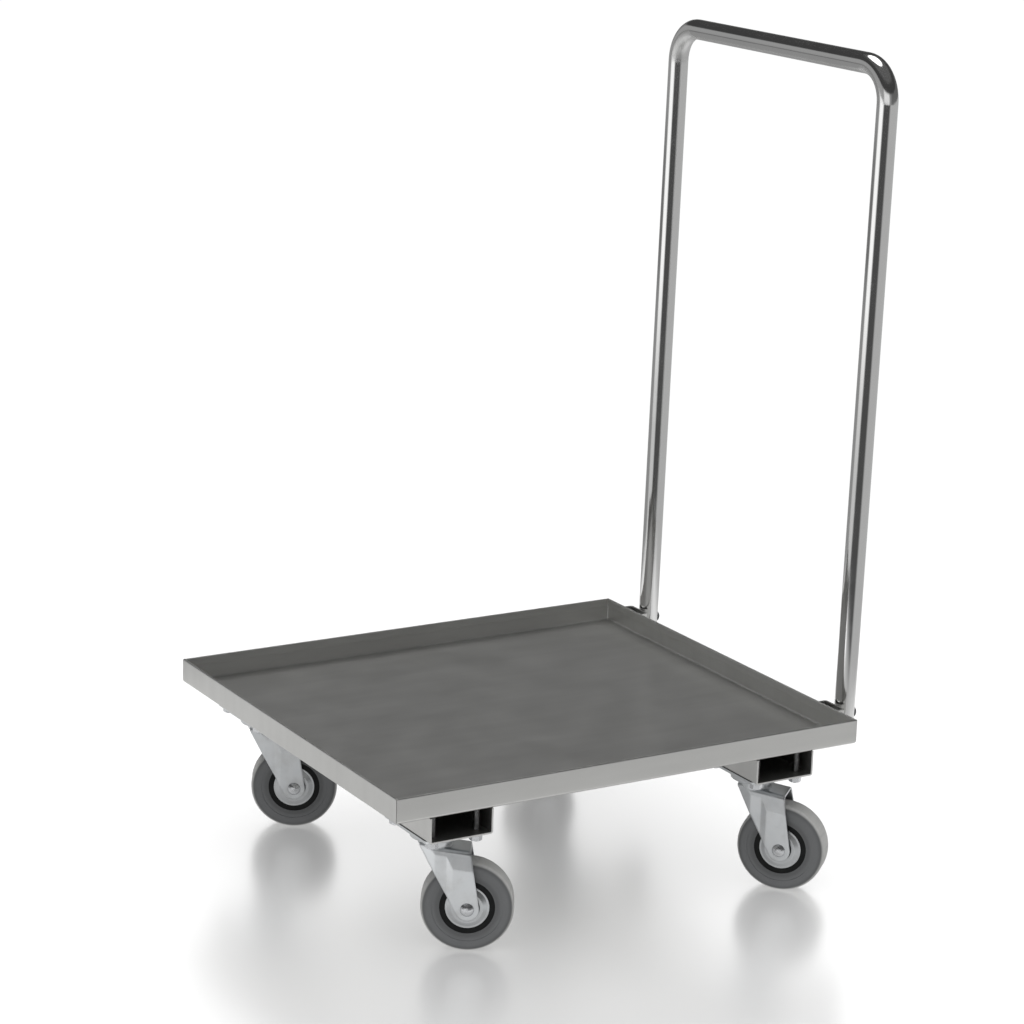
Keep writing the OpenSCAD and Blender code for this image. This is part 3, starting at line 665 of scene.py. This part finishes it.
def threaded_stud(length):
    """A stud hanging from z = 0: weld flange, thread of one zigzag wound down it, chamfered tip."""
    start_fresh()
    # A triangle of radius 1 has sides of sqrt(3) and is 1.5 high; the zigzag is two of its sides
    bpy.ops.mesh.primitive_circle_add(vertices=3, radius=1.0)
    stud = bpy.context.object
    stud.scale = (THREAD_PITCH / math.sqrt(3), THREAD_DEPTH / 1.5, 1.0)
    settle()
    stud.rotation_euler = Matrix(((0, 1, 0), (0, 0, 1), (1, 0, 0))).to_euler()
    stud.location = (STUD_R - THREAD_DEPTH * 2 / 3, 0.0, -length - THREAD_PITCH)
    settle()
    edit(stud)
    bpy.ops.mesh.select_mode(type="EDGE")
    bpy.ops.object.mode_set(mode="OBJECT")
    for link in stud.data.edges:
        ends = [stud.data.vertices[i].co for i in link.vertices]
        link.select = abs(ends[0].x - ends[1].x) < THREAD_DEPTH / 2
    bpy.ops.object.mode_set(mode="EDIT")
    bpy.ops.mesh.delete(type="EDGE")
    leave_edit()
    use_modifier(
        stud,
        "SCREW",
        axis="Z",
        screw_offset=THREAD_PITCH,
        iterations=math.ceil(length / THREAD_PITCH) + 2,
        steps=THREAD_STEPS,
        render_steps=THREAD_STEPS,
    )
    edit(stud)
    bpy.ops.mesh.select_all(action="SELECT")
    bpy.ops.mesh.remove_doubles(threshold=MERGE_GAP)
    bpy.ops.mesh.select_mode(type="EDGE")
    for level, keep_above in ((-length + STUD_TIP, True), (-FLANGE_H, False)):
        bpy.ops.mesh.select_all(action="SELECT")
        bpy.ops.mesh.bisect(
            plane_co=(0, 0, level),
            plane_no=(0, 0, 1),
            clear_inner=keep_above,
            clear_outer=not keep_above,
            threshold=CUT_GAP,
        )
        bpy.ops.mesh.edge_face_add()
    bpy.ops.mesh.select_mode(type="FACE")
    bpy.ops.mesh.select_all(action="SELECT")
    bpy.ops.mesh.normals_make_consistent(inside=False)
    low_end = -length + STUD_TIP + CLOSE
    pick_faces(stud, lambda centre, normal: normal.z < -UPRIGHT_FACING and centre.z < low_end)
    bpy.ops.mesh.extrude_region_move(TRANSFORM_OT_translate={"value": (0, 0, -STUD_TIP)})
    bpy.ops.transform.resize(value=(TIP_SHARE, TIP_SHARE, 1.0), center_override=(0, 0, -length))
    high_end = -FLANGE_H - CLOSE
    pick_faces(stud, lambda centre, normal: normal.z > UPRIGHT_FACING and centre.z > high_end)
    bpy.ops.mesh.extrude_region_move()
    wider = FLANGE_R / STUD_R
    bpy.ops.transform.resize(value=(wider, wider, 1.0), center_override=(0, 0, 0))
    bpy.ops.mesh.extrude_region_move(TRANSFORM_OT_translate={"value": (0, 0, FLANGE_H)})
    leave_edit()
    bpy.ops.object.shade_smooth_by_angle(angle=THREAD_SMOOTH)
    return stud


def add_threaded_studs():
    low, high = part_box("caster_studs")
    places = []
    for caster in CASTERS:
        x, y = JOINTS["swivel_" + caster]["pos_m"][:2]
        places += [(x + dx, y + dy, high.z) for dx in (-STUD_X, STUD_X) for dy in (-STUD_Y, STUD_Y)]
    studs = copies_joined(threaded_stud(high.z - low.z), "threaded_studs", places)
    dress(studs, STUD)
    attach(studs, "chassis")
    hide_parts("caster_studs")


BEAD_RIPPLE = 0.0011
RIPPLE_STRETCH = 1.6
BEAD_LEG = 0.0021
BEAD_SINK = 0.0012
STITCH = 0.030
STITCH_PLACES = (-0.225, -0.112, 0.0, 0.112, 0.225)
UPRIGHT = 0.022
UPRIGHT_FOOT = 0.003
BEAD_SMOOTH = math.radians(50)


def weld_bead(length, half_wide, half_deep):
    """Weld bead along X from the origin, built of overlapping ripples.

    half_wide is along Y and half_deep along Z.
    """
    start_fresh()
    bpy.ops.mesh.primitive_uv_sphere_add(segments=10, ring_count=6, radius=1.0)
    bead = bpy.context.object
    bead.scale = (RIPPLE_STRETCH * BEAD_RIPPLE, half_wide, half_deep)
    settle()
    edit(bead)
    bpy.ops.mesh.select_all(action="SELECT")
    bpy.ops.transform.translate(value=(BEAD_RIPPLE, 0, 0))
    leave_edit()
    use_modifier(
        bead,
        "ARRAY",
        count=max(2, round(length / BEAD_RIPPLE)),
        use_relative_offset=False,
        use_constant_offset=True,
        constant_offset_displace=(BEAD_RIPPLE, 0.0, 0.0),
    )
    bpy.ops.object.shade_smooth_by_angle(angle=BEAD_SMOOTH)
    return bead


def add_channel_welds():
    """Stitch welds where both walls of each channel meet the tray."""
    places = []
    for node in ("front_channel", "rear_channel"):
        low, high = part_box(node)
        for y in (low.y, high.y):
            places += [(x - STITCH / 2, y, high.z) for x in STITCH_PLACES]
    welds = copies_joined(weld_bead(STITCH, BEAD_LEG, BEAD_SINK), "channel_welds", places)
    dress(welds, WELD)
    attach(welds, "chassis")


def add_bracket_welds():
    """Upright welds where the flanges of the handle brackets meet the rear rim."""
    upright = weld_bead(UPRIGHT, BEAD_SINK, BEAD_LEG)
    upright.rotation_euler.y = -math.pi / 2
    settle()
    places = []
    rim_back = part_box("tray_pan")[1].y
    for node in ("handle_bracket_left", "handle_bracket_right"):
        low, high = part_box(node)
        places += [(x, rim_back, UPRIGHT_FOOT) for x in (low.x, high.x)]
    welds = copies_joined(upright, "bracket_welds", places)
    dress(welds, WELD)
    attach(welds, "chassis")


add_threaded_studs()
add_channel_welds()
add_bracket_welds()


# Studio: a wide pale floor, a soft sky of light, and a white card that only the floor's gloss sees

FLOOR_HALF = 40.0
FLOOR_DARK, FLOOR_LIGHT = (0.26, 0.26, 0.26), (0.28, 0.28, 0.28)
FLOOR_GLOSS = (0.53, 0.53, 0.53, 1.0)
FLOOR_LIFT, FLOOR_WHITE = 0.22, 1.02
FADE_START, FADE_END = 0.8, 1.6

# The floor in reflections, far off: where wedges about the handle start (in degrees), and their brightness
# A fade holds its start and end in metres, and the values at these
HANDLE_Y = 0.33
WEDGE_BLUR = 10.0
WHITE_FRONT, DARK_FRONT, GREY_RIGHT, GREY_BEHIND = -124.0, -76.0, -7.0, 138.0
DARK_FRONT_LIGHT, GREY_RIGHT_LIGHT, GREY_BEHIND_LIGHT = 0.09, 0.56, 0.36
WHITE_FRONT_FADE = (1.8, 4.0, 0.72, 1.35)
LEFT_BEHIND_FADE = (3.4, 4.4, 0.34, 0.20)
HORIZON_FADE = (5.5, 8.0, 0.0, 1.0)
HORIZON_LIGHT = 0.38

# The floor in reflections, close by: the left, right and rear sides, a strip and a spot on the left, and a
# painted shadow under the trolley
LEFT_FADE = (0.6, 0.85, 0.80, 0.62)
RIGHT_FADE = (-0.80, -0.40, 0.34, 0.0)
REAR_FADE = (0.30, 0.70, 0.0, 0.20)
STRIP_FADES = (
    ("X", 0.34, 0.44, 0.0, 1.0),
    ("X", 0.50, 0.60, 1.0, 0.0),
    ("Y", -0.50, -0.35, 0.0, 1.0),
    ("Y", 0.10, 0.25, 1.0, 0.0),
)
STRIP_LIGHT = 1.10
SPOT_PLACE = (0.39, -0.63, 0.0)
SPOT_FADE = (0.1, 0.3, 1.0, 0.0)
SPOT_LIGHT = 1.5
# Painted shadow of the trolley on the floor in reflections: where it fades out in metres, and the glow inside
# it
UNDER_PAINTED_SHADOW_FADE = (0.15, 0.45, 1.0, 0.0)
UNDER_PAINTED_SHADOW_GLOW = 0.45
NEAR_FADE = (0.85, 1.20, 1.0, 0.0)


def glow(tree, strength, colour=(1.0, 1.0, 1.0, 1.0)):
    return put(tree, "ShaderNodeEmission", {"Color": colour, "Strength": strength}).outputs[0]


def wedges_of_light(tree, parts, far):
    """Brightness of the far floor in reflections: wedges of light and dark about the handle."""
    behind = maths(tree, "SUBTRACT", parts["Y"], HANDLE_Y)
    angle = maths(tree, "ARCTAN2", behind, parts["X"])
    left_behind = mapped(tree, far, *LEFT_BEHIND_FADE)
    wedges = blend(tree, mapped(tree, far, *HORIZON_FADE), left_behind, HORIZON_LIGHT)
    for start, strength in (
        (WHITE_FRONT, mapped(tree, far, *WHITE_FRONT_FADE)),
        (DARK_FRONT, DARK_FRONT_LIGHT),
        (GREY_RIGHT, GREY_RIGHT_LIGHT),
        (GREY_BEHIND, GREY_BEHIND_LIGHT),
    ):
        low, high = math.radians(start - WEDGE_BLUR), math.radians(start + WEDGE_BLUR)
        wedges = blend(tree, mapped(tree, angle, low, high, 0.0, 1.0), wedges, strength)
    return wedges


def light_beside(tree, parts, place):
    """Brightness of the floor beside the trolley in reflections, with a bright strip and a bright spot."""
    sides = mapped(tree, parts["X"], *LEFT_FADE)
    sides = maths(tree, "ADD", sides, mapped(tree, parts["X"], *RIGHT_FADE))
    sides = maths(tree, "ADD", sides, mapped(tree, parts["Y"], *REAR_FADE))
    strip = 1.0
    for axis, *fade in STRIP_FADES:
        strip = maths(tree, "MULTIPLY", strip, mapped(tree, parts[axis], *fade))
    off_spot = vector_maths(tree, "LENGTH", vector_maths(tree, "SUBTRACT", place, SPOT_PLACE))
    spot = mapped(tree, off_spot, *SPOT_FADE)
    return blend(tree, spot, blend(tree, strip, sides, STRIP_LIGHT), SPOT_LIGHT)


def mirrored_floor(tree, place, far):
    """Brightness of the floor in reflections, from a painted shadow under the trolley outwards."""
    parts = put(tree, "ShaderNodeSeparateXYZ", {0: place}).outputs
    close = blend(tree, mapped(tree, far, *UNDER_PAINTED_SHADOW_FADE), light_beside(tree, parts, place), UNDER_PAINTED_SHADOW_GLOW)
    return blend(tree, mapped(tree, far, *NEAR_FADE), wedges_of_light(tree, parts, far), close)


def studio_floor():
    """Pale gloss floor: seen directly it carries soft shadows, mirrors the wheels and fades to white."""
    start_fresh()
    bpy.ops.mesh.primitive_plane_add(size=2 * FLOOR_HALF, location=(0, 0, GROUND_Z))
    floor = bpy.context.object
    floor.name = "studio_floor"
    material, tree, shader, at = new_material("pale_floor", Metallic=0.0, Specular_IOR_Level=0.0)
    place = at["Object"]
    sweep = noise(tree, place, scale=3.0, detail=2.0)
    colour = mix_colour(tree, sweep, FLOOR_DARK, FLOOR_LIGHT)
    tree.links.new(colour, shader.inputs["Base Color"])
    far = vector_maths(tree, "LENGTH", place)
    gloss_look = {"Color": FLOOR_GLOSS, "Roughness": blend(tree, sweep, 0.24, 0.26)}
    gloss = put(tree, "ShaderNodeBsdfGlossy", gloss_look).outputs[0]
    lifted = put(tree, "ShaderNodeAddShader", {0: shader.outputs[0], 1: glow(tree, FLOOR_LIFT)}).outputs[0]
    shaded = put(tree, "ShaderNodeAddShader", {0: lifted, 1: gloss}).outputs[0]
    fade = mapped(tree, far, FADE_START, FADE_END, 0.0, 1.0)
    direct = put(tree, "ShaderNodeMixShader", {0: fade, 1: shaded, 2: glow(tree, FLOOR_WHITE)}).outputs[0]
    # Seen in reflections and in the light it sheds, the floor is a glow with light and shade painted on it
    mirrored = glow(tree, mirrored_floor(tree, place, far))
    seen = put(tree, "ShaderNodeLightPath").outputs["Is Camera Ray"]
    mixed = put(tree, "ShaderNodeMixShader", {0: seen, 1: mirrored, 2: direct}).outputs[0]
    tree.links.new(mixed, tree.nodes["Material Output"].inputs["Surface"])
    dress(floor, material)
    return floor


CARD_AWAY = 8.0
CARD_WIDE = 16.0
CARD_TALL = 7.0


def back_card(floor):
    """White card behind the trolley that only the floor's gloss sees; every other ray passes through it."""
    away = Vector((-math.sin(CAMERA_AZIMUTH), math.cos(CAMERA_AZIMUTH), 0.0))
    start_fresh()
    bpy.ops.mesh.primitive_plane_add(
        size=1.0,
        location=CARD_AWAY * away + Vector((0, 0, GROUND_Z + CARD_TALL / 2)),
        rotation=(math.pi / 2, 0.0, CAMERA_AZIMUTH),
    )
    card = bpy.context.object
    card.name = "back_card"
    card.scale = (CARD_WIDE, CARD_TALL, 1.0)
    material = bpy.data.materials.new("card_light")
    material.use_nodes = True
    tree = material.node_tree
    tree.nodes.remove(tree.nodes["Principled BSDF"])
    clear = put(tree, "ShaderNodeBsdfTransparent").outputs[0]
    both = put(tree, "ShaderNodeAddShader", {0: glow(tree, 1.0), 1: clear}).outputs[0]
    tree.links.new(both, tree.nodes["Material Output"].inputs["Surface"])
    dress(card, material)
    for ray in ("camera", "diffuse", "transmission", "volume_scatter", "shadow"):
        setattr(card, "visible_" + ray, False)
    receivers = bpy.data.collections.new("floor_only")
    receivers.objects.link(floor)
    card.light_linking.receiver_collection = receivers


SOFT_BOX = (-0.32, 0.0, 0.947)
SOFT_BOX_EDGE, SOFT_BOX_FULL = math.cos(math.radians(24.0)), math.cos(math.radians(18.0))
CEILING_START, CEILING_FULL = 0.60, 0.76
CEILING_LIGHT, BOX_LIGHT, OFF_BOX_LIGHT = 2.1, 3.0, 0.06
UPPER_WALL, FRONT_WALL = 0.06, 1.0

# A fade here holds its start and end along one axis of the direction looked in, and the values at these
LOWER_WALL_FADE = (-0.3, 0.3, 0.40, 0.16)
LEFT_SIDE_FADE = (0.15, 0.40, 0.0, 1.0)
FRONT_SIDE_FADE = (-0.40, -0.20, 1.0, 0.0)
WALL_HEIGHT_FADE = (0.26, 0.36, 0.0, 1.0)


def studio_sky():
    """Bright ceiling, dark upper walls, grey lower walls; direct views see only white.

    Shiny pieces see a soft box in place of the whole ceiling.
    """
    world = bpy.data.worlds.new("studio")
    bpy.context.scene.world = world
    world.use_nodes = True
    tree = world.node_tree
    tree.nodes.clear()
    toward = put(tree, "ShaderNodeTexCoord").outputs["Generated"]
    parts = put(tree, "ShaderNodeSeparateXYZ", {0: toward}).outputs
    lower = mapped(tree, parts["Y"], *LOWER_WALL_FADE)
    leftwards = mapped(tree, parts["X"], *LEFT_SIDE_FADE)
    forwards = mapped(tree, parts["Y"], *FRONT_SIDE_FADE)
    lower = blend(tree, maths(tree, "MULTIPLY", leftwards, forwards), lower, FRONT_WALL)
    walls = blend(tree, mapped(tree, parts["Z"], *WALL_HEIGHT_FADE), lower, UPPER_WALL)
    ceiling = mapped(tree, parts["Z"], CEILING_START, CEILING_FULL, 0.0, CEILING_LIGHT)
    on_box = vector_maths(tree, "DOT_PRODUCT", toward, SOFT_BOX)
    soft_box = mapped(tree, on_box, SOFT_BOX_EDGE, SOFT_BOX_FULL, OFF_BOX_LIGHT, BOX_LIGHT)
    overhead_only = mapped(tree, parts["Z"], CEILING_START, CEILING_FULL, 0.0, 1.0)
    glossy_ceiling = maths(tree, "MULTIPLY", soft_box, overhead_only)
    path = put(tree, "ShaderNodeLightPath").outputs
    overhead = blend(tree, path["Is Glossy Ray"], ceiling, glossy_ceiling)
    studio = put(tree, "ShaderNodeBackground", {"Strength": maths(tree, "ADD", walls, overhead)})
    plain = put(tree, "ShaderNodeBackground", {"Strength": 1.0})
    for node in (studio, plain):
        node.inputs["Color"].default_value = (1, 1, 1, 1)
    shaders = {0: path["Is Camera Ray"], 1: studio.outputs[0], 2: plain.outputs[0]}
    mixed = put(tree, "ShaderNodeMixShader", shaders).outputs[0]
    put(tree, "ShaderNodeOutputWorld", {"Surface": mixed})


back_card(studio_floor())
studio_sky()
bpy.context.scene.view_settings.view_transform = "Standard"
